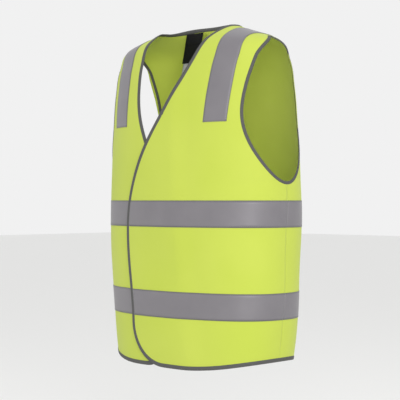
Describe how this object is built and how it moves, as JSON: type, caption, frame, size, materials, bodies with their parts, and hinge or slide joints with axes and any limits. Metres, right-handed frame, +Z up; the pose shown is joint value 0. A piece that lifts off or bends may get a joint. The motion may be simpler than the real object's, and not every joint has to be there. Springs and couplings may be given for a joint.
{
  "type": "high visibility vest",
  "caption": "Sleeveless fluorescent yellow safety vest with overlapping fronts, V neck, reflective tapes over the shoulders and round the body, and dark binding.",
  "frame": {"origin": "Middle of the line between the two points where the shoulder seams reach the neck: the shoulder rest, by which a wearer or hanger carries the vest", "axes": "+Z up along the body, -Y the front, +X the wearer's left"},
  "size_m": [0.433, 0.2492, 0.6609],
  "materials": {
    "hi_vis_fabric": "knitted polyester, fluorescent yellow",
    "reflective_tape": "glass bead retroreflective tape, satin grey",
    "binding": "folded woven binding, dark grey",
    "hook": "nylon hook tape, black",
    "loop": "nylon loop tape, black, fuzzy",
    "neck_label": "woven satin label, black, blank",
    "care_label": "printed satin label, light grey, blank"
  },
  "bodies": {
    "vest_body": {"back_panel": "hi_vis_fabric", "left_front_side": "hi_vis_fabric", "right_front_side": "hi_vis_fabric", "back_upper_tape": "reflective_tape", "back_lower_tape": "reflective_tape", "left_front_side_upper_tape": "reflective_tape", "left_front_side_lower_tape": "reflective_tape", "right_front_side_upper_tape": "reflective_tape", "right_front_side_lower_tape": "reflective_tape", "left_shoulder_tape": "reflective_tape", "right_shoulder_tape": "reflective_tape", "left_armhole_binding": "binding", "right_armhole_binding": "binding", "neck_binding": "binding", "hem_binding": "binding"},
    "left_flap": {"left_front_flap": "hi_vis_fabric", "left_front_flap_upper_tape": "reflective_tape", "left_front_flap_lower_tape": "reflective_tape", "left_front_flap_binding": "binding", "hook_patches": "hook"},
    "right_flap": {"right_front_flap": "hi_vis_fabric", "right_front_flap_upper_tape": "reflective_tape", "right_front_flap_lower_tape": "reflective_tape", "right_front_flap_binding": "binding", "loop_patches": "loop"},
    "neck_label": {"neck_label": "neck_label"},
    "care_label": {"care_label": "care_label"}
  },
  "joints": [
    {"name": "left_front_open", "type": "hinge", "parent": "vest_body", "child": "left_flap", "pos_m": [0.06, -0.11, -0.078], "axis": [-0.0835, 0.0209, 0.9963], "range_deg": [0, 110]},
    {"name": "right_front_open", "type": "hinge", "parent": "vest_body", "child": "right_flap", "pos_m": [-0.079, -0.102, -0.078], "axis": [-0.0627, -0.0244, -0.9977], "range_deg": [0, 66]},
    {"name": "neck_label_flip", "type": "hinge", "parent": "vest_body", "child": "neck_label", "pos_m": [-0.042, 0.02988, 0], "axis": [-1, 0, 0], "range_deg": [0, 80]},
    {"name": "care_label_flip", "type": "hinge", "parent": "vest_body", "child": "care_label", "pos_m": [-0.042, 0.03158, 0], "axis": [-1, 0, 0], "range_deg": [0, 70]}
  ],
  "couplings": [
    {"joint": "right_front_open", "follows": "left_front_open", "ratio": 0.6},
    {"joint": "care_label_flip", "follows": "neck_label_flip", "ratio": 0.8}
  ]
}
